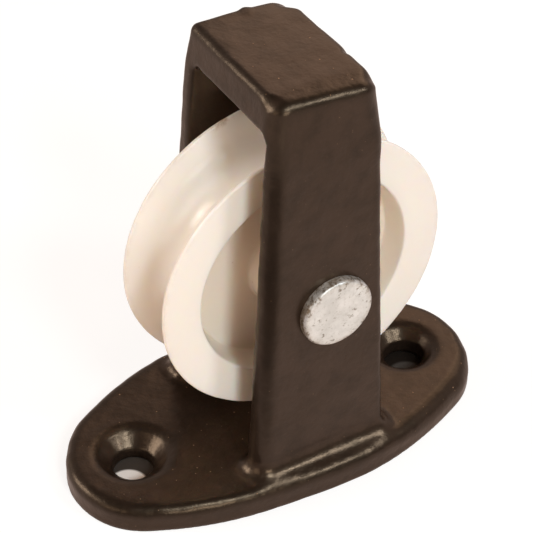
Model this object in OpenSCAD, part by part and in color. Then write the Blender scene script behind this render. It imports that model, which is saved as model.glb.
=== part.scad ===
// Single sheave block: a cast frame with an oval base and a square bridge, a grooved sheave and its axle rivet.
// Millimetres, +Z up, X along the rope, Y along the axle, origin at the centre of the base's underside.

/* [Sheave] */
// Diameter over the sheave's rims
sheave_d = 50.8; // [40:0.1:60]
// Width over the sheave's two rims
sheave_w = 13.8; // [12:0.1:16]
// Depth of the rope groove below the rims
groove_depth = 6.3; // [5:0.1:7.5]
// Thickness of each rim at its outer edge
rim_t = 1.3; // [0.8:0.1:1.8]
// Wall between the groove's bottom and the mouth of the side recess, measured on the radius
rim_wall = 0.4; // [0:0.1:2]
// Draft of the recess wall, taken off the radius down to the web
recess_draft = 0.9; // [0.2:0.1:1.5]
// Thickness of the web
web_t = 5; // [3:0.5:7]
// Wall of the hub round its bore
hub_wall = 3.8; // [2.5:0.1:5]
// Height of each hub end outside the rim
hub_stand = 3; // [2.4:0.1:5]

// Distance of the sheave from the middle of the axle, away from the rivet's head
sheave_y = 0.5; // [0:0.1:0.5]

/* [Axle rivet] */
// Diameter of the rivet's shank
pin_d = 8; // [6:0.5:10]
// Radial running clearance of the sheave on the shank
run_clear = 0.08; // [0.03:0.01:0.1]
// Radial clearance of the shank in the legs
leg_clear = 0.05; // [0.02:0.01:0.1]
// Overhang of the formed head and tail round the shank
head_over = 2.5; // [1.5:0.1:3]
// Thickness of the head
head_t = 1.9; // [1.5:0.1:3.5]
// Thickness of the peened tail
tail_t = 2; // [1.4:0.1:3]
// Distance of the axle from the middle of the base, along the rope
pin_x = 1.8; // [0:0.1:3]

/* [Bridge] */
// Free height for the rope above the sheave
gap_top = 7.7; // [5:0.1:12]
// Free height for the rope below the sheave
gap_low = 5.9; // [5:0.1:12]
// Thickness of the top bar
bar_t = 5.9; // [4:0.1:8]
// Thickness of each leg at the top
leg_t_top = 3.1; // [2.5:0.1:4.5]
// Thickness of each leg at the foot
leg_t_foot = 4.4; // [3:0.1:6]
// Width of the legs along the rope at the top
leg_w_top = 17.8; // [15:0.1:20]
// Width of the legs along the rope at the foot
leg_w_foot = 24.4; // [20:0.1:28]
// Distance of the bridge's middle from the middle of the base, along the rope
bridge_x = 0.5; // [0:0.1:1]
// Outward lean of the inner leg faces, in degrees
leg_lean = 0.9; // [0:0.1:2]
// Space between each hub end and the leg beside it, at the axle, with the sheave in the middle
end_play = 1; // [0.9:0.05:1.5]
// Radius of the bridge's outer corners
corner_r = 3; // [1:0.1:4]
// Radius of the bridge's inner corners
inner_r = 2; // [0.5:0.1:3]
// Flat taken off the long edges
edge_cut = 1.1; // [0.5:0.1:1.5]
// Height of the sloped fillet round the feet
foot_fillet = 1.6; // [0.6:0.1:2.5]

/* [Base plate] */
// Thickness of the base plate
base_t = 5; // [4:0.5:8]
// Width of plate outside each leg
base_margin = 3.7; // [3:0.1:8]
// Radius of the oval's ends
base_end_r = 12.5; // [9:0.5:15]
// Rounding of the plate's top edge
base_edge_r = 1.2; // [0.5:0.1:2]

/* [Screw holes] */
// Distance between the screw holes
hole_pitch = 53; // [50:1:64]
// Distance from each hole to the plate's end
hole_margin = 11.5; // [9:0.5:16]
// Diameter of the screw holes
hole_d = 6.6; // [4.5:0.1:7.5]
// Diameter of the countersinks at the plate's top
sink_d = 12; // [9:0.5:13]

/* [Hidden] */
overlap = 1;
end_proud = 0.05;
seat_clear = 0.5;
seat_cut = 0.1;
rim_chamfer = 0.4;
face_chamfer = 0.5;
arc_steps = 6;
sheave_r = sheave_d / 2;
half_w = sheave_w / 2;
groove_half = half_w - rim_t;
groove_r = (groove_half * groove_half + groove_depth * groove_depth) / (2 * groove_depth);
groove_c = sheave_r - groove_depth + groove_r;
recess_r = sheave_r - groove_depth - rim_wall;
hub_r = pin_d / 2 + hub_wall;
hub_half = half_w + hub_stand;
bore_r = pin_d / 2 + run_clear;
pin_z = base_t + gap_low + sheave_r;
bar_z = pin_z + sheave_r + gap_top;
bridge_h = bar_z + bar_t;
head_r = pin_d / 2 + head_over;
seat_r = head_r + seat_clear;
seat_y = y_out(pin_z + seat_r) - seat_cut;
base_b = y_out(base_t) + base_margin;
base_a = hole_pitch / 2 + hole_margin;
end_x = base_a - base_end_r;
fair_r = base_end_r - end_proud;
side_r = (end_x * end_x + base_b * base_b - fair_r * fair_r) / (2 * (base_b - fair_r));
side_c = side_r - base_b;
join_x = end_x + fair_r * end_x / norm([end_x, side_c]);

// Inner face, outer face and half width of a leg at height z
function y_in(z) = hub_half + end_play + (pin_z - z) * tan(leg_lean);
function leg_t(z) = leg_t_foot + (leg_t_top - leg_t_foot) * (z - base_t) / (bridge_h - base_t);
function y_out(z) = y_in(z) + leg_t(z);
function x_half(z) = (leg_w_foot + (leg_w_top - leg_w_foot) * (z - base_t) / (bridge_h - base_t)) / 2;
function arc(c, r) = [for (i = [0 : arc_steps]) c + r * [cos(90 * i / arc_steps), sin(90 * i / arc_steps)]];
function both(half) = concat(half, [for (i = [len(half) - 1 : -1 : 0]) [-half[i][0], half[i][1]]]);

// Round plate with the rounded top edge
module plate_disc(r) {
    rotate_extrude($fn = 180)
        polygon(concat([[0, 0], [r, 0]], arc([r - base_edge_r, base_t - base_edge_r], base_edge_r), [[0, base_t]]));
}

// Two broad arcs for the sides and two round ends, each end a hair proud of the sides where they meet
module base_plate() {
    for (s = [-1, 1]) translate([s * end_x, 0, 0]) plate_disc(base_end_r);
    intersection() {
        translate([0, -side_c, 0]) plate_disc(side_r);
        translate([0, side_c, 0]) plate_disc(side_r);
        translate([-join_x, -base_b - overlap, -overlap])
            cube([2 * join_x, 2 * (base_b + overlap), base_t + 2 * overlap]);
    }
}

module bridge_side() {
    z_f = base_t + foot_fillet;
    difference() {
        polygon(both(concat(
            [[y_out(base_t) + foot_fillet, base_t - overlap], [y_out(base_t) + foot_fillet, base_t]],
            [[y_out(z_f), z_f]],
            arc([y_out(bridge_h - corner_r) - corner_r, bridge_h - corner_r], corner_r))));
        polygon(both(concat(
            [[y_in(base_t) - foot_fillet, base_t - 2 * overlap], [y_in(base_t) - foot_fillet, base_t]],
            [[y_in(z_f), z_f]],
            arc([y_in(bar_z - inner_r) - inner_r, bar_z - inner_r], inner_r))));
    }
}

module bridge_front() {
    z_f = base_t + foot_fillet;
    polygon(both(concat(
        [[x_half(base_t) + foot_fillet, base_t - 2 * overlap], [x_half(base_t) + foot_fillet, base_t]],
        [[x_half(z_f), z_f]],
        [[x_half(bridge_h - edge_cut), bridge_h - edge_cut]],
        [[x_half(bridge_h) - edge_cut, bridge_h]])));
}

// Flat along one outer leg edge, on the side given by the signs sx and sy
module leg_edge_cut(sx, sy) {
    z_1 = base_t + foot_fillet;
    foot = [sx * x_half(z_1), sy * y_out(z_1), z_1];
    run = [sx * x_half(bridge_h), sy * y_out(bridge_h), bridge_h] - foot;
    turn = atan2(run[1], run[0]);
    translate(foot)
        rotate([0, acos(run[2] / norm(run)), turn])
            rotate([0, 0, atan2(sy, sx) - turn])
                translate([-edge_cut / sqrt(2), -base_end_r / 2, 0])
                    cube([base_end_r, base_end_r, norm(run) + 5 * overlap]);
}

module bridge() {
    difference() {
        intersection() {
            rotate([90, 0, 90]) linear_extrude(2 * base_a, center = true) bridge_side();
            rotate([90, 0, 0]) linear_extrude(4 * base_b, center = true) bridge_front();
        }
        for (sx = [-1, 1]) for (sy = [-1, 1]) leg_edge_cut(sx, sy);
    }
}

module frame() {
    color([0.22, 0.18, 0.15])
    difference() {
        union() {
            base_plate();
            translate([bridge_x, 0, 0]) bridge();
        }
        for (s = [-1, 1]) {
            translate([s * hole_pitch / 2, 0, -overlap])
                cylinder(d = hole_d, h = base_t + 2 * overlap, $fn = 48);
            translate([s * hole_pitch / 2, 0, base_t - (sink_d - hole_d) / 2])
                cylinder(d1 = hole_d, d2 = sink_d + 2 * overlap, h = (sink_d - hole_d) / 2 + overlap, $fn = 64);
            translate([pin_x, s * seat_y, pin_z])
                rotate([-90 * s, 0, 0]) cylinder(r = seat_r, h = base_b, $fn = 64);
        }
        translate([pin_x, 0, pin_z])
            rotate([90, 0, 0]) cylinder(r = pin_d / 2 + leg_clear, h = 4 * base_b, center = true, $fn = 64);
    }
}

// Half of the sheave's section: radius across, distance along the axle upwards
module sheave_section() {
    floor_r = recess_r - recess_draft;
    difference() {
        polygon([
            [bore_r, -hub_half], [hub_r - rim_chamfer, -hub_half], [hub_r, rim_chamfer - hub_half],
            [hub_r, -web_t / 2], [floor_r, -web_t / 2], [recess_r, -half_w],
            [sheave_r - rim_chamfer, -half_w], [sheave_r, rim_chamfer - half_w],
            [sheave_r, half_w - rim_chamfer], [sheave_r - rim_chamfer, half_w],
            [recess_r, half_w], [floor_r, web_t / 2], [hub_r, web_t / 2],
            [hub_r, hub_half - rim_chamfer], [hub_r - rim_chamfer, hub_half], [bore_r, hub_half]]);
        translate([groove_c, 0]) circle(r = groove_r, $fn = 72);
    }
}

module sheave() {
    color([0.94, 0.90, 0.85])
    translate([pin_x, sheave_y, pin_z])
        rotate([90, 0, 0]) rotate_extrude($fn = 144) sheave_section();
}

// The head lies on the -Y side, the peened tail on the +Y side
module axle_rivet() {
    r = pin_d / 2;
    top = seat_y + head_t;
    color([0.78, 0.77, 0.74])
    translate([pin_x, 0, pin_z])
        rotate([90, 0, 0]) rotate_extrude($fn = 96)
            polygon([
                [0, -seat_y - tail_t], [head_r / 2, -seat_y - tail_t],
                [head_r - face_chamfer, -seat_y - tail_t / 2], [head_r, -seat_y - face_chamfer],
                [head_r, -seat_y], [r, -seat_y], [r, seat_y], [head_r, seat_y],
                [head_r, top - 2 * face_chamfer], [head_r - face_chamfer / 3, top - face_chamfer],
                [head_r - 1.2 * face_chamfer, top - face_chamfer / 4], [head_r - 2 * face_chamfer, top], [0, top]]);
}

frame();
sheave();
axle_rivet();
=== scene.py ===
import math

import bpy
import numpy as np
from mathutils import Matrix, Vector


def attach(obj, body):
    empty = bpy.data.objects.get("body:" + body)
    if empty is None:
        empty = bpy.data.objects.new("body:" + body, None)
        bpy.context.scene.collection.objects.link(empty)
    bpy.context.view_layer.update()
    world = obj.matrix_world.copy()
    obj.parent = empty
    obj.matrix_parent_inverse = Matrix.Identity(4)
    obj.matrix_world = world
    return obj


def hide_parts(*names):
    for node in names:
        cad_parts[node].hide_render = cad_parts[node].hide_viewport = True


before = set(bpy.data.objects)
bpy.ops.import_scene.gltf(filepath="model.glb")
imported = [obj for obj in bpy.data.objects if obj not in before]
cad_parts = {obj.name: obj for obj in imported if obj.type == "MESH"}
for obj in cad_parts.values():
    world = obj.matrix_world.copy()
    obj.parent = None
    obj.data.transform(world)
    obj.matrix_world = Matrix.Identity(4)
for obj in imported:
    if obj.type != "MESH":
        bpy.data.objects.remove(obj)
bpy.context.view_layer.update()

MM = 0.001
scene = bpy.context.scene

# Sizes of the part, in millimetres.
BASE_T = 5.0                                # thickness of the base plate
BASE_B = 19.42                              # half its width
END_X, END_R = 23.75, 14.2                  # its end arcs: centre and radius
SIDE_R = (END_X ** 2 + BASE_B ** 2 - END_R ** 2) / (2 * (BASE_B - END_R))
SIDE_C = SIDE_R - BASE_B
SIDE_LIMIT = 19.48                          # the casting's waves stay within this half width
HOLE_X, HOLE_R, SINK_R = 26.5, 3.35, 6.08   # screw holes and their countersinks
TOP = 75.28                                 # top of the bridge
BAR_Z = 69.4                                # underside of its bar
BRIDGE_X = 0.5                              # its middle along the base
LEG_IN = 10.9                               # inner face of a leg, at the axle's height
LEG_T, LEG_T_LOSS = 4.4, 1.3                # a leg's thickness at the foot, and its loss to the top
LEG_HALF, LEG_HALF_LOSS = 12.2, 3.3         # half its width at the foot, and its loss to the top
LEAN = math.tan(math.radians(0.9))          # the legs lean inwards
PIN_X, PIN_Z = 1.8, 36.3                    # axle
SHEAVE_Y = 0.5                              # middle of the sheave along the axle
RIM_R, RIM_Y = 25.24, 6.9                   # sheave: rims' radius and half width
RECESS_R, WEB_Y = 17.8, 2.5                 # sheave: radius of the side recess, half the web
HUB_R, HUB_Y = 7.8, 9.9                     # sheave: hub
GROOVE_R, GROOVE_C = 5.639, 24.739          # sheave: groove's radius and its centre's distance
RIVET_SEAT = 14.46                          # the rivet's head and tail lie beyond this
RIVET_SHIFT = (0.3, 0, -0.8)                # the head sits a little off the axle, as in the photo

# Waves of the base's outline: turns round the base, cosine and sine.
OVAL_SWELL = 0.11
OVAL_WAVES = ((1, 0.0, 0.09), (2, -0.235, -0.09), (4, -0.296, 0.147), (5, 0.053, -0.081))

# Marks of the casting: centre, size and height.
CAST_MARKS = (
    ((9.4, -11.5, 52.0), (1.2, 1.5, 0.8), -0.28),   # notch in the near leg's right edge
    ((9.6, -13.4, 66.0), (1.4, 2.4, 4.0), 0.25),    # bulge above it
    ((9.9, -13.5, 60.5), (1.2, 2.0, 2.0), -0.18),   # dent between the two
    ((8.9, -4.0, 74.6), (0.9, 0.7, 0.9), -0.30),    # nick in the bar's right edge
    ((13.8, -13.4, 5.8), (1.0, 2.2, 1.0), 0.32),    # lip at the near foot
    ((11.9, -14.0, 9.6), (0.7, 0.9, 2.2), -0.30),   # crease above the lip
    ((1.4, 12.6, 74.6), (0.8, 1.2, 1.4), 0.42),     # bump on the bar's far edge
)

# Camera, fitted to the photograph: degrees, millimetres and pixels.
CAMERA_AZ, CAMERA_EL, CAMERA_ROLL = -30.7697, 40.2799, 1.0452
CAMERA_AIM, CAMERA_DISTANCE = (4.29388, 9.75849, 25.03841), 317.5436
FOCAL_PX, IMAGE_PX, SENSOR_MM = 1893.493, 533, 36

# Lamps: azimuth and elevation in degrees, distance, width and height in metres, watts, colour.
LAMP_AIM = (0.001, 0, 0.034)
LAMPS = (
    ("key", -3, 42, 0.9, 0.16, 0.16, 2.7, (0.88, 0.97, 1.0)),
    ("key_low", -9, 14, 0.9, 0.28, 0.18, 1.7, (0.98, 0.94, 0.86)),
    ("front_right", 31, 40, 0.9, 0.17, 0.17, 2.1, (0.90, 0.97, 1.0)),
    ("side_back", -119, 24, 0.9, 0.50, 0.36, 2.9, (0.97, 0.92, 0.85)),
    ("back_right", 112, 44, 0.9, 0.50, 0.50, 0.9, (1.0, 0.80, 0.62)),
    ("card", 136, 38, 0.32, 0.18, 0.18, 0.09, (1.0, 0.75, 0.60)),
    ("left", -74, 18, 0.9, 0.40, 0.40, 0.85, (1.0, 0.86, 0.72)),
    ("side_core", -119, 24, 0.9, 0.06, 0.06, 0.60, (0.98, 0.96, 0.92)),
)
FLOOR_HALF, FLOOR_Z = 2.5, -0.00004
AMBIENT_LOW, AMBIENT_HIGH, AMBIENT = 0.10, 0.50, (1.0, 0.66, 0.46, 1)


# Shape tools.
def smooth(v, lo, hi):
    """Soft step from 0 at lo to 1 at hi."""
    t = np.clip((v - lo) / (hi - lo), 0, 1)
    return t * t * (3 - 2 * t)


def rmax(a, b, r):
    """Intersection of two distance fields with a round edge."""
    corner = np.sqrt(np.maximum(a + r, 0) ** 2 + np.maximum(b + r, 0) ** 2)
    return np.minimum(np.maximum(a, b), -r) + corner


def rmin(a, b, r):
    """Union of two distance fields with a fillet."""
    corner = np.sqrt(np.maximum(r - a, 0) ** 2 + np.maximum(r - b, 0) ** 2)
    return np.maximum(np.minimum(a, b), r) - corner


class Noise:
    """Smooth value noise on a fixed lattice."""

    def __init__(self, seed, n=24):
        self.n = n
        self.table = np.random.RandomState(seed).uniform(-1, 1, (n, n, n))

    def __call__(self, p, size):
        q = p / np.asarray(size, float) + 100.37
        i = np.floor(q).astype(int)
        f = q - i
        w = f * f * f * (f * (f * 6 - 15) + 10)
        out = np.zeros(len(p))
        for corner in np.ndindex(2, 2, 2):
            k = np.abs(1 - np.array(corner) - w)
            at = tuple(((i + corner) % self.n).T)
            out += k[:, 0] * k[:, 1] * k[:, 2] * self.table[at]
        return out


def blob(p, centre, size, height):
    """A soft bump (or dent, with a negative height) round one point."""
    q = (p - np.array(centre)) / np.array(size, float)
    return height * np.exp(-(q ** 2).sum(1))


def surface_net(field, axes):
    """Quads on the zero level of a sampled field."""
    inside = field < 0
    n = np.array(field.shape) - 1
    corners = list(np.ndindex(2, 2, 2))
    count = sum(inside[a:a + n[0], b:b + n[1], c:c + n[2]].astype(np.int8) for a, b, c in corners)
    cells = np.argwhere((count > 0) & (count < 8))
    values = np.stack([field[tuple((cells + corner).T)] for corner in corners], 1)
    total = np.zeros((len(cells), 3))
    hits = np.zeros(len(cells))
    for i in range(8):
        for j in range(i + 1, 8):
            if sum(abs(p - q) for p, q in zip(corners[i], corners[j])) != 1:
                continue
            cut = (values[:, i] < 0) != (values[:, j] < 0)
            t = values[cut, i] / (values[cut, i] - values[cut, j])
            ci, cj = np.array(corners[i], float), np.array(corners[j], float)
            total[cut] += ci + t[:, None] * (cj - ci)
            hits[cut] += 1
    place = cells + total / hits[:, None]
    verts = np.stack([axes[k][0] + place[:, k] * (axes[k][1] - axes[k][0]) for k in range(3)], 1)
    index = np.full(n, -1, np.int64)
    index[tuple(cells.T)] = np.arange(len(cells))
    faces = []
    for k in range(3):
        u, v = (k + 1) % 3, (k + 2) % 3
        lo, hi = [slice(None)] * 3, [slice(None)] * 3
        lo[k], hi[k] = slice(0, -1), slice(1, None)
        at = np.argwhere(inside[tuple(lo)] != inside[tuple(hi)])
        at = at[(at[:, u] > 0) & (at[:, v] > 0) & (at[:, u] < n[u]) & (at[:, v] < n[v])]
        leaving = inside[tuple(at.T)]
        quad = []
        for du, dv in ((1, 1), (0, 1), (0, 0), (1, 0)):
            c = at.copy()
            c[:, u] -= du
            c[:, v] -= dv
            quad.append(index[tuple(c.T)])
        quad = np.stack(quad, 1)
        quad[~leaving] = quad[~leaving][:, ::-1]
        faces.append(quad)
    return verts, np.concatenate(faces)


def gradient(field, p, h=0.02):
    g = np.empty_like(p)
    for k in range(3):
        d = np.zeros(3)
        d[k] = h
        g[:, k] = (field(*(p + d).T) - field(*(p - d).T)) / (2 * h)
    return g


def settle(field, p, rounds, reach):
    """Moves points onto the zero level of a field, and gives its normals there."""
    for _ in range(rounds):
        g = gradient(field, p)
        step = field(*p.T) / np.maximum((g ** 2).sum(1), 0.2)
        p = p - np.clip(step, -reach, reach)[:, None] * g
    g = gradient(field, p)
    return p, g / np.linalg.norm(g, axis=1)[:, None]


def bend(field, p, h=0.35):
    """How sharply the surface turns: above 0 on outer edges, below 0 in fillets."""
    total = -6 * field(*p.T)
    for k in range(3):
        d = np.zeros(3)
        d[k] = h
        total = total + field(*(p + d).T) + field(*(p - d).T)
    return total / h ** 2


def relax(p, quads, share):
    """One step of averaging with the neighbours along the quads' edges."""
    total = np.zeros_like(p)
    hits = np.zeros(len(p))
    for i in range(4):
        a, b = quads[:, i], quads[:, (i + 1) % 4]
        np.add.at(total, a, p[b])
        np.add.at(total, b, p[a])
        np.add.at(hits, a, 1)
        np.add.at(hits, b, 1)
    return p + share * (total / hits[:, None] - p)


def rounded(points, closed, step):
    """Outline with round corners, from (radius from the axis, place along it, corner radius)."""
    n = len(points)
    out = []
    for i, (px, py, r) in enumerate(points):
        if r <= 0 or (not closed and i in (0, n - 1)):
            out.append((px, py))
            continue
        p = np.array([px, py])
        a = np.array(points[i - 1][:2]) - p
        b = np.array(points[(i + 1) % n][:2]) - p
        a, b = a / np.linalg.norm(a), b / np.linalg.norm(b)
        half = math.acos(max(-1, min(1, float(a @ b)))) / 2
        mid = (a + b) / np.linalg.norm(a + b)
        centre = p + mid * r / math.sin(half)
        start, end = p + a * r / math.tan(half), p + b * r / math.tan(half)
        a0 = math.atan2(*(start - centre)[::-1])
        turn = (math.atan2(*(end - centre)[::-1]) - a0 + math.pi) % (2 * math.pi) - math.pi
        k = max(3, int(abs(turn) / math.radians(14)))
        for j in range(k + 1):
            w = a0 + turn * j / k
            out.append((centre[0] + r * math.cos(w), centre[1] + r * math.sin(w)))
    fine = []
    for i in range(len(out) if closed else len(out) - 1):
        a, b = np.array(out[i]), np.array(out[(i + 1) % len(out)])
        k = max(1, int(round(np.linalg.norm(b - a) / step)))
        fine += [tuple(a + (b - a) * j / k) for j in range(k)]
    if not closed:
        fine.append(out[-1])
    return np.array(fine)


def revolve(outline, closed, centre, segments):
    """Turns an outline about a line along Y. An open outline starts and ends on the axis."""
    body = outline if closed else outline[1:-1]
    n = len(body)
    verts, faces = [], []
    for s in range(segments):
        w = 2 * math.pi * s / segments
        verts.append(np.stack([body[:, 0] * math.sin(w), body[:, 1], body[:, 0] * math.cos(w)], 1))
        t = (s + 1) % segments
        for i in range(n if closed else n - 1):
            j = (i + 1) % n
            faces.append((s * n + i, t * n + i, t * n + j, s * n + j))
    verts = np.concatenate(verts)
    if not closed:
        first, last = len(verts), len(verts) + 1
        verts = np.concatenate([verts, [[0, outline[0, 1], 0], [0, outline[-1, 1], 0]]])
        for s in range(segments):
            t = (s + 1) % segments
            faces.append((first, t * n, s * n))
            faces.append((last, s * n + n - 1, t * n + n - 1))
    return verts + np.array(centre), faces


def normals_of(verts, faces):
    out = np.zeros_like(verts)
    for size in (3, 4):
        f = np.array([q for q in faces if len(q) == size])
        if len(f):
            nrm = np.cross(verts[f[:, 2]] - verts[f[:, 0]], verts[f[:, -1]] - verts[f[:, 1]])
            for k in range(size):
                np.add.at(out, f[:, k], nrm)
    return out / np.maximum(np.linalg.norm(out, axis=1), 1e-9)[:, None]


def make_object(name, verts_mm, faces, material):
    me = bpy.data.meshes.new(name)
    me.from_pydata((verts_mm * MM).tolist(), [], [list(f) for f in faces])
    me.update()
    me.shade_smooth()
    me.materials.append(material)
    ob = bpy.data.objects.new(name, me)
    scene.collection.objects.link(ob)
    return ob


def add_field(ob, name, values):
    """A number at each vertex, which the material reads."""
    layer = ob.data.attributes.new(name, "FLOAT", "POINT")
    layer.data.foreach_set("value", np.asarray(values, np.float32))


# Material tools.
def rgb(r, g, b):
    """Colour given in 8-bit display values."""
    def lin(c):
        c /= 255
        return c / 12.92 if c <= 0.04045 else ((c + 0.055) / 1.055) ** 2.4
    return lin(r), lin(g), lin(b), 1.0


class Tree:
    """Short calls for building a node tree."""

    def __init__(self, tree):
        self.tree = tree

    def put(self, socket, value):
        if isinstance(value, bpy.types.NodeSocket):
            self.tree.links.new(value, socket)
        else:
            socket.default_value = value

    def node(self, kind, inputs=None, **props):
        n = self.tree.nodes.new("ShaderNode" + kind)
        for k, v in props.items():
            setattr(n, k, v)
        for k, v in (inputs or {}).items():
            self.put(n.inputs[k], v)
        return n

    def span(self, value, lo, hi, to_lo=0.0, to_hi=1.0):
        return self.node("MapRange", {"Value": value, "From Min": lo, "From Max": hi,
                                      "To Min": to_lo, "To Max": to_hi}).outputs["Result"]

    def math(self, op, a, b):
        return self.node("Math", {0: a, 1: b}, operation=op).outputs[0]

    def times(self, a, b):
        return self.math("MULTIPLY", a, b)

    def mix(self, fac, a, b):
        return self.node("Mix", {0: fac, 6: a, 7: b}, data_type="RGBA").outputs[2]

    def mix_shader(self, fac, a, b):
        return self.node("MixShader", {0: fac, 1: a, 2: b}).outputs[0]


class Surface(Tree):
    """A material in object coordinates. Lengths are in metres and noise scales per metre."""

    def __init__(self, name):
        self.mat = bpy.data.materials.new(name)
        self.mat.use_nodes = True
        super().__init__(self.mat.node_tree)
        self.shader = self.tree.nodes["Principled BSDF"]
        self.coord = self.node("TexCoord").outputs["Object"]

    def noise(self, scale, detail=2.0, rough=0.5):
        return self.node("TexNoise", {"Vector": self.coord, "Scale": scale, "Detail": detail,
                                      "Roughness": rough}).outputs["Fac"]

    def field(self, name):
        return self.node("Attribute", attribute_name=name).outputs["Fac"]

    def specks(self, scale, size, share):
        """Round specks: one in each cell of a random pattern, kept in a share of the cells."""
        v = self.node("TexVoronoi", {"Vector": self.coord, "Scale": scale, "Randomness": 1.0})
        dot = self.span(v.outputs["Distance"], size, size * 0.55)
        pick = self.node("SeparateColor", {0: v.outputs["Color"]}).outputs[0]
        return self.times(dot, self.math("LESS_THAN", pick, share))

    def bump(self, height, distance, strength, normal=None):
        inputs = {"Height": height, "Distance": distance, "Strength": strength}
        if normal:
            inputs["Normal"] = normal
        return self.node("Bump", inputs).outputs["Normal"]

    def set(self, **values):
        for k, v in values.items():
            self.put(self.shader.inputs[k.replace("_", " ")], v)


def paint_material():
    """Dark brown satin paint: drifts of tone, painted shade on edges, peel, dust on what faces up.
    """
    m = Surface("dark_brown_paint")
    broad = m.noise(70, 3, 0.55)
    patch = m.noise(300, 3, 0.6)
    fine = m.noise(1100, 2, 0.6)
    edge = m.field("edge")
    colour = m.mix(m.span(broad, 0.35, 0.68), rgb(46, 35, 28), rgb(53, 41, 34))
    colour = m.mix(m.span(patch, 0.45, 0.70, 0, 0.75), colour, rgb(31, 24, 19))
    colour = m.mix(m.span(fine, 0.58, 0.8, 0, 0.25), colour, rgb(74, 58, 47))
    # Painted shade: the paint is coloured darker along rounded edges, beside where highlights fall.
    colour = m.mix(m.times(edge, 0.55), colour, rgb(22, 17, 13))
    dust = m.math("MAXIMUM", m.specks(520, 0.080, 0.42), m.specks(900, 0.090, 0.30))
    up = m.node("SeparateXYZ", {0: m.node("TexCoord").outputs["Normal"]}).outputs["Z"]
    dust = m.times(dust, m.span(up, 0.2, 0.9, 0.2, 1.0))
    colour = m.mix(m.times(dust, 0.75), colour, rgb(176, 140, 110))
    rough = m.math("ADD", m.times(broad, 0.5), m.times(patch, 0.5))
    rough = m.span(rough, 0.3, 0.7, 0.27, 0.33)
    rough = m.math("ADD", rough, m.times(edge, 0.03))
    rough = m.math("MAXIMUM", rough, m.times(dust, 0.75))
    peel = m.bump(m.noise(330, 3, 0.55), 0.00030, 0.5)
    peel = m.bump(m.noise(1300, 2, 0.55), 0.00004, 0.4, peel)
    peel = m.bump(dust, 0.00006, 0.6, peel)
    m.set(Base_Color=colour, Roughness=rough, Normal=peel, Metallic=0.35)
    m.set(Specular_IOR_Level=0.85, Specular_Tint=(1.0, 0.74, 0.51, 1.0))
    return m.mat


def nylon_material():
    """Ivory nylon: faint clouds, brown marks on the rims, a few specks, painted warm shade in the
    recess.
    """
    m = Surface("ivory_nylon")
    cloud = m.noise(38, 2, 0.5)
    fine = m.noise(700, 3, 0.6)
    colour = m.mix(m.span(cloud, 0.35, 0.7), rgb(254, 249, 243), rgb(252, 246, 239))
    stain = m.times(m.field("rim"), m.span(m.noise(420, 4, 0.65), 0.40, 0.62))
    colour = m.mix(m.times(stain, 0.75), colour, rgb(150, 108, 76))
    spots = m.specks(330, 0.075, 0.16)
    colour = m.mix(m.times(spots, 0.45), colour, rgb(176, 140, 110))
    # Painted warm shade: the side recess is tinted warmer.
    colour = m.mix(m.times(m.field("recess_shade"), 0.50), colour, rgb(250, 233, 214))
    rough = m.span(fine, 0.3, 0.75, 0.20, 0.27)
    skin = m.bump(m.noise(160, 2, 0.5), 0.00020, 0.25)
    skin = m.bump(fine, 0.00003, 0.4, skin)
    m.set(Base_Color=colour, Roughness=rough, Normal=skin, Specular_IOR_Level=0.5)
    m.set(Subsurface_Weight=0.35, Subsurface_Radius=(1.0, 0.56, 0.34), Subsurface_Scale=0.0045)
    return m.mat


def zinc_material():
    """Worn zinc plating: pale and dull on the head's face, pitted and brown towards its edge."""
    m = Surface("worn_zinc")
    face, edge = m.field("face"), m.field("edge")
    cloud = m.noise(330, 4, 0.6)
    fine = m.noise(1900, 3, 0.65)
    colour = m.mix(m.span(cloud, 0.38, 0.66), rgb(212, 213, 212), rgb(232, 233, 233))
    colour = m.mix(m.span(fine, 0.54, 0.76, 0, 0.4), colour, rgb(160, 156, 148))
    pit = m.math("ADD", m.noise(1150, 4, 0.7), m.times(edge, 0.13))
    pits = m.span(pit, 0.60, 0.70)
    colour = m.mix(m.times(pits, 0.8), colour, rgb(104, 90, 72))
    ring = m.times(edge, m.span(m.noise(620, 3, 0.6), 0.36, 0.66))
    colour = m.mix(m.times(ring, 0.65), colour, rgb(140, 118, 88))
    rough = m.span(m.math("ADD", fine, m.times(face, 0.35)), 0.3, 1.0, 0.30, 0.58)
    skin = m.bump(m.noise(520, 3, 0.6), 0.00010, 0.5)
    skin = m.bump(pits, 0.00004, -0.6, skin)
    metal = m.span(face, 0, 1, 0.55, 0.05)
    m.set(Base_Color=colour, Roughness=rough, Normal=skin, Metallic=metal)
    return m.mat


# The cast frame: one distance field for the oval base, the bridge and the holes.
def oval_field(x, y):
    """Distance to the base's outline, a four-centre oval that the casting leaves uneven."""
    ax, ay = np.abs(x), np.abs(y + 0.45 * (x / 38) ** 2)
    side = np.hypot(ax, ay + SIDE_C) - SIDE_R
    end = np.hypot(ax - END_X, ay) - END_R
    oval = np.where(ax * SIDE_C > END_X * (ay + SIDE_C), end, side)
    w = np.arctan2(y, x)
    waves = sum(c * np.cos(n * w) + s * np.sin(n * w) for n, c, s in OVAL_WAVES)
    near_left = 0.34 * smooth(-x, 29, 37) * smooth(y, 9, 0)
    far_right = 0.30 * smooth(x, 22, 34) * smooth(y, -3, 5)
    return oval - OVAL_SWELL - waves - near_left - far_right


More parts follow.
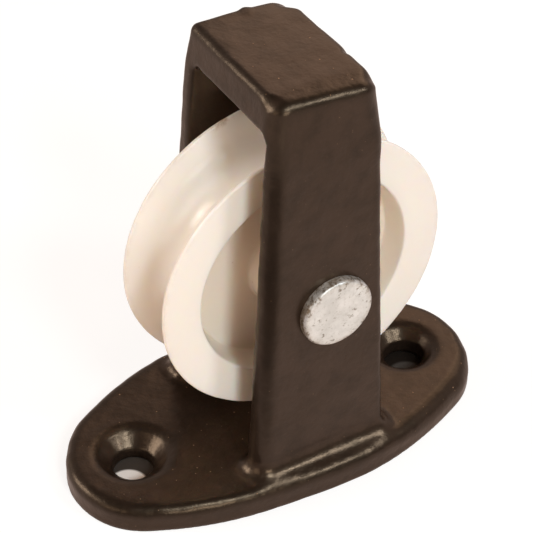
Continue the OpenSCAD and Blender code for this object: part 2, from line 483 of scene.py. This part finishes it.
def bridge_field(x, y, z):
    """The inverted U. Its near and far legs differ a little, as the photo shows."""
    t = (z - BASE_T) / (TOP - BASE_T)
    far = smooth(y, -3, 3)
    near = 1 - far
    leg = LEG_IN + (PIN_Z - z) * LEAN
    y_in = leg + near * 0.35 * np.clip(t, 0, 1) ** 2
    y_out = leg + LEG_T - LEG_T_LOSS * t
    y_out = y_out - near * np.maximum(0.64 - 0.0874 * x, 0) * smooth(z, 63, 75.3)
    half = LEG_HALF - LEG_HALF_LOSS * t
    left = half + 0.3 * t + far * 0.35 * smooth(z, 74, 58) * smooth(z, 10, 40)
    left = left - smooth(z, 68, 75.3) * (0.75 * far + 0.9 * near)
    right = half + 0.3 * near * smooth(z, 52, 64) * smooth(z, 76, 70)
    sides = np.maximum(x - BRIDGE_X - right, BRIDGE_X - x - left)
    top = (TOP - 0.12 * smooth(x, -3, 10) - 0.30 * smooth(-y, 8.3, 12.0)
           - 0.35 * smooth(y, 7, 13) * smooth(x, 2, 9))
    outer = rmax(np.abs(y) - y_out, z - top, 1.2 + 0.5 * near)
    upright = smooth(np.abs(y) - y_out, -4.5, -1.5)
    round_right = smooth(x, -2, 2) * (1.6 + far) * smooth(z, 60, 72)
    round_left = smooth(x, 2, -2) * near * 1.5
    outer = rmax(outer, sides, 1.35 + upright * (round_right + round_left))
    inner = rmax(np.abs(y) - y_in, z - BAR_Z, 1.5)
    return np.maximum(rmax(outer, -inner, 1.1), 2.4 - z)


def frame_field(x, y, z):
    rim = 1.9 + 1.2 * smooth(x, 8, 24) * smooth(-y, 2, 12)
    base = rmax(oval_field(x, y), z - BASE_T, rim)
    fillet = 2.2 + smooth(-y, 8, 13) * (0.6 + 0.3 * smooth(x, -6, 8))
    solid = rmin(bridge_field(x, y, z), base, fillet)
    for s in (-1, 1):
        r = np.hypot(x - s * HOLE_X, y)
        bore = np.hypot(x - s * HOLE_X - 0.25 * (s + 1), y) - HOLE_R
        cone = (r - SINK_R + 0.22 * s - z + BASE_T) * math.sqrt(0.5)
        cut = np.maximum(rmin(cone, bore, 0.15), z - BASE_T - 2.5)
        solid = rmax(solid, -cut, 0.85)
    return rmax(solid, -z, 0.4)


def make_frame(material):
    step = 0.42
    axes = [np.arange(-38.9, 39, step), np.arange(-20.3, 20.4, step), np.arange(-0.83, 76.2, step)]
    grid = frame_field(axes[0][:, None, None], axes[1][None, :, None], axes[2][None, None, :])
    p, quads = surface_net(grid, axes)
    p, nrm = settle(frame_field, p, 3, 0.3)
    p = relax(p, quads, 0.5)
    p, nrm = settle(frame_field, p, 2, 0.2)
    free = np.clip(p[:, 2] / 1.5, 0, 1)
    edge = smooth(bend(frame_field, p), 0.12, 0.5)[:, None]
    for _ in range(3):
        edge = relax(edge, quads, 0.7)
    edge = edge[:, 0] * free
    wave, lump, grain, ripple = Noise(3), Noise(7), Noise(11), Noise(13)
    rise = 0.10 * wave(p, 13.0) + 0.055 * lump(p, 5.0) + 0.02 * grain(p, 2.2) - 0.09
    rise += edge * 0.07 * ripple(p, 2.7)
    for mark in CAST_MARKS:
        rise += blob(p, *mark)
    p = p + nrm * (rise * free)[:, None]
    p[:, 2] = np.clip(p[:, 2], 0.0, TOP)
    p[:, 1] = np.clip(p[:, 1], -SIDE_LIMIT, SIDE_LIMIT)
    ob = make_object("cast_frame", p, quads, material)
    add_field(ob, "edge", edge)
    return ob


# The sheave: a moulded ring with its rims, groove, web and hub.
def make_sheave(material):
    a0 = math.acos((22.5 - GROOVE_C) / GROOVE_R)
    arc = [(GROOVE_C + GROOVE_R * math.cos(w), GROOVE_R * math.sin(w), 0)
           for w in np.linspace(-a0, a0 - 2 * math.pi, 45)]
    side = [(4.08, HUB_Y, 0.35), (HUB_R, HUB_Y, 0.6), (7.75, WEB_Y, 0.5), (RECESS_R, WEB_Y, 0.35),
            (18.65, RIM_Y, 0.35), (RIM_R, RIM_Y, 0.32), (RIM_R, 6.22, 0.30)]
    low = [(r, -y, c) for r, y, c in side]
    outline = rounded(low + arc + side[::-1], True, 0.7)
    verts, faces = revolve(outline, True, (PIN_X, SHEAVE_Y, PIN_Z), 208)
    nrm = normals_of(verts, faces)
    wave, lump = Noise(21), Noise(23)
    r = np.hypot(verts[:, 0] - PIN_X, verts[:, 2] - PIN_Z)
    rise = np.where(r > 8.2, 0.035 * wave(verts, 9.0) + 0.012 * lump(verts, 3.0), 0.0)
    rim = np.clip((r - 24.5) / 0.6, 0, 1)
    rise -= rim * 0.05 * np.abs(lump(verts, 1.8))
    verts = verts + nrm * rise[:, None]
    ob = make_object("nylon_sheave", verts, faces, material)
    turn = np.arctan2(verts[:, 0] - PIN_X, verts[:, 2] - PIN_Z)
    flash = np.exp(-((turn + 0.33) / 0.17) ** 2) * smooth(verts[:, 1], 4.5, 5.8)
    add_field(ob, "rim", rim * (0.12 + 0.88 * flash))
    # The side recess, for the material's painted warm shade.
    depth = np.abs(verts[:, 1] - SHEAVE_Y)
    add_field(ob, "recess_shade", smooth(r, 18.9, 18.2) * smooth(depth, 6.9, 6.2))
    return ob


# The rivet: worn flat head towards the viewer, shank, and a peened tail.
def make_rivet(material):
    head = [(0, -16.22, 0), (4.0, -16.30, 2.0), (6.2, -16.18, 0.62), (6.22, -14.9, 0.3),
            (6.1, -14.2, 0.2)]
    shank = [(4.0, -14.0, 0.2), (4.0, 14.2, 0.2)]
    tail = [(6.0, 14.3, 0.2), (6.45, 15.1, 0.6), (4.6, 16.25, 1.2), (0, 16.42, 0)]
    outline = rounded(head + shank + tail, False, 0.4)
    verts, faces = revolve(outline, False, (PIN_X, 0, PIN_Z), 176)
    nrm = normals_of(verts, faces)
    dent, lump = Noise(31), Noise(33)
    r = np.hypot(verts[:, 0] - PIN_X, verts[:, 2] - PIN_Z)
    worn = 0.035 * lump(verts, 2.4) + 0.015 * dent(verts, 1.1) - 0.03
    peened = 0.10 * dent(verts, 2.6) - 0.09
    rise = np.where(verts[:, 1] > RIVET_SEAT, peened, worn)
    rise = np.where(np.abs(verts[:, 1]) > RIVET_SEAT, rise, 0.0)
    verts = verts + nrm * rise[:, None]
    verts += np.array(RIVET_SHIFT) * (verts[:, 1] < -14.1)[:, None]
    ob = make_object("axle_rivet_worn", verts, faces, material)
    add_field(ob, "face", np.clip((-nrm[:, 1] - 0.80) / 0.18, 0, 1))
    add_field(ob, "edge", np.clip((r - 4.9) / 1.4, 0, 1))
    return ob


# The studio.
def direction(azimuth, elevation):
    a, e = math.radians(azimuth), math.radians(elevation)
    return Vector((math.sin(a) * math.cos(e), -math.cos(a) * math.cos(e), math.sin(e)))


def make_lamp(name, azimuth, elevation, distance, width, height, power, colour):
    lamp = bpy.data.lights.new(name, "AREA")
    lamp.shape = "RECTANGLE"
    lamp.size, lamp.size_y = width, height
    lamp.energy = power
    lamp.color = colour
    ob = bpy.data.objects.new(name, lamp)
    scene.collection.objects.link(ob)
    ob.location = Vector(LAMP_AIM) + direction(azimuth, elevation) * distance
    ob.rotation_euler = (Vector(LAMP_AIM) - ob.location).to_track_quat("-Z", "Y").to_euler()


def make_floor():
    """White for the camera, with the object's shadow; warm in gloss; painted shadow in gloss and
    below the base.
    """
    s, z = FLOOR_HALF, FLOOR_Z
    me = bpy.data.meshes.new("floor")
    me.from_pydata([(-s, -s, z), (s, -s, z), (s, s, z), (-s, s, z)], [], [(0, 1, 2, 3)])
    floor = bpy.data.objects.new("floor", me)
    scene.collection.objects.link(floor)
    m = Surface("pale_floor")
    path = m.node("LightPath").outputs
    mirrored = m.math("MAXIMUM", path["Is Glossy Ray"], path["Is Transmission Ray"])

    def oval(centre, size, turn=0.0):
        """Distance from a point, 1 on the line of an oval of these half sizes in millimetres."""
        place = m.node("Mapping", {
            "Vector": m.coord,
            "Location": (centre[0] * MM, centre[1] * MM, 0),
            "Rotation": (0, 0, math.radians(turn)),
            "Scale": (size[0] * MM, size[1] * MM, 1)}, vector_type="TEXTURE").outputs[0]
        return m.node("VectorMath", {0: place}, operation="LENGTH").outputs["Value"]

    # Painted shadow: under the base the floor is coloured dark, a little less so by the left hole,
    # with painted light in spots below the screw holes, pale under the left and faint under the
    # right.
    outside = m.span(oval((0, 0), (36.5, 18.0)), 0.97, 1.0)
    left_painted_light = m.span(oval((-28.5, -1.9), (3.3, 3.3)), 1.06, 0.94)
    right_painted_light = m.span(oval((26.3, -2.4), (3.3, 3.3)), 1.08, 0.92, 0.0, 0.05)
    by_left_hole = m.span(oval((-26.5, 0), (8, 8)), 1.1, 0.9)
    painted_shadow = m.mix(by_left_hole, (0.015, 0.012, 0.010, 1), (0.06, 0.05, 0.043, 1))
    spots = m.math("MAXIMUM", left_painted_light, right_painted_light)
    below = m.mix(spots, painted_shadow, (0.95, 0.93, 0.91, 1))
    grain = m.mix(m.noise(40, 3), (0.60, 0.46, 0.36, 1), (0.66, 0.51, 0.40, 1))
    plain = m.node("BsdfDiffuse", {"Color": m.mix(outside, below, grain)}).outputs[0]
    # Painted shadow of the object on the floor, which only reflections see.
    shade = m.span(oval((-66, -70), (62, 72), 45), 0.6, 1.1, 0.10, 1.0)
    tone = m.mix(shade, (0.0, 0.0, 0.0, 1), (0.73, 0.64, 0.64, 1))
    warm = m.node("Emission", {"Color": tone, "Strength": 1.0}).outputs[0]
    white = m.node("Emission", {"Color": (1, 1, 1, 1), "Strength": 0.80}).outputs[0]
    faint = m.node("BsdfDiffuse", {"Color": (0.28, 0.28, 0.28, 1)}).outputs[0]
    white = m.node("AddShader", {0: white, 1: faint}).outputs[0]
    mixed = m.mix_shader(m.times(mirrored, outside), plain, warm)
    mixed = m.mix_shader(m.times(path["Is Camera Ray"], outside), mixed, white)
    m.tree.links.new(mixed, m.tree.nodes["Material Output"].inputs["Surface"])
    m.tree.nodes.remove(m.shader)
    me.materials.append(m.mat)


def make_world():
    """White for the camera. A warm wall and a dim ceiling in gloss, and else soft warm light."""
    world = bpy.data.worlds.new("studio")
    world.use_nodes = True
    scene.world = world
    m = Tree(world.node_tree)
    m.tree.nodes.clear()

    def background(colour, strength):
        return m.node("Background", {"Color": colour, "Strength": strength}).outputs[0]

    path = m.node("LightPath").outputs
    way = m.node("SeparateXYZ", {0: m.node("TexCoord").outputs["Generated"]}).outputs
    aside = m.math("ADD", way["Y"], m.times(way["X"], 0.4))
    backdrop = m.times(m.span(way["Z"], 0.88, 0.60), m.span(aside, -0.40, 0.05))
    mirrored = m.math("MAXIMUM", path["Is Glossy Ray"], path["Is Transmission Ray"])
    soft = background(AMBIENT, m.span(way["Z"], 0.1, 1.0, AMBIENT_LOW, AMBIENT_HIGH))
    dim = background(AMBIENT, 0.04)
    wall = background((1.0, 0.87, 0.86, 1), 0.44)
    white = background((1, 1, 1, 1), 1.0)
    mixed = m.mix_shader(mirrored, soft, m.mix_shader(backdrop, dim, wall))
    mixed = m.mix_shader(path["Is Camera Ray"], mixed, white)
    m.node("OutputWorld", {"Surface": mixed})


def make_camera():
    back = direction(CAMERA_AZ, CAMERA_EL)
    az, roll = math.radians(CAMERA_AZ), math.radians(CAMERA_ROLL)
    level = Vector((math.cos(az), math.sin(az), 0))
    upright = back.cross(level)
    right = math.cos(roll) * level + math.sin(roll) * upright
    up = math.cos(roll) * upright - math.sin(roll) * level
    place = Vector(CAMERA_AIM) * MM + back * CAMERA_DISTANCE * MM
    data = bpy.data.cameras.new("camera")
    data.sensor_width = SENSOR_MM
    data.lens = SENSOR_MM * FOCAL_PX / IMAGE_PX
    data.clip_start = 0.01
    cam = bpy.data.objects.new("camera", data)
    cam.matrix_world = Matrix((
        (right.x, up.x, back.x, place.x),
        (right.y, up.y, back.y, place.y),
        (right.z, up.z, back.z, place.z),
        (0, 0, 0, 1)))
    scene.collection.objects.link(cam)
    scene.camera = cam


scene.view_settings.view_transform = "Standard"
make_camera()
make_floor()
make_world()
for settings in LAMPS:
    make_lamp(*settings)

cast = make_frame(paint_material())
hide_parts("frame")
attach(cast, "frame")

wheel = make_sheave(nylon_material())
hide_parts("sheave")
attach(wheel, "sheave")

rivet = make_rivet(zinc_material())
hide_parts("axle_rivet")
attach(rivet, "frame")
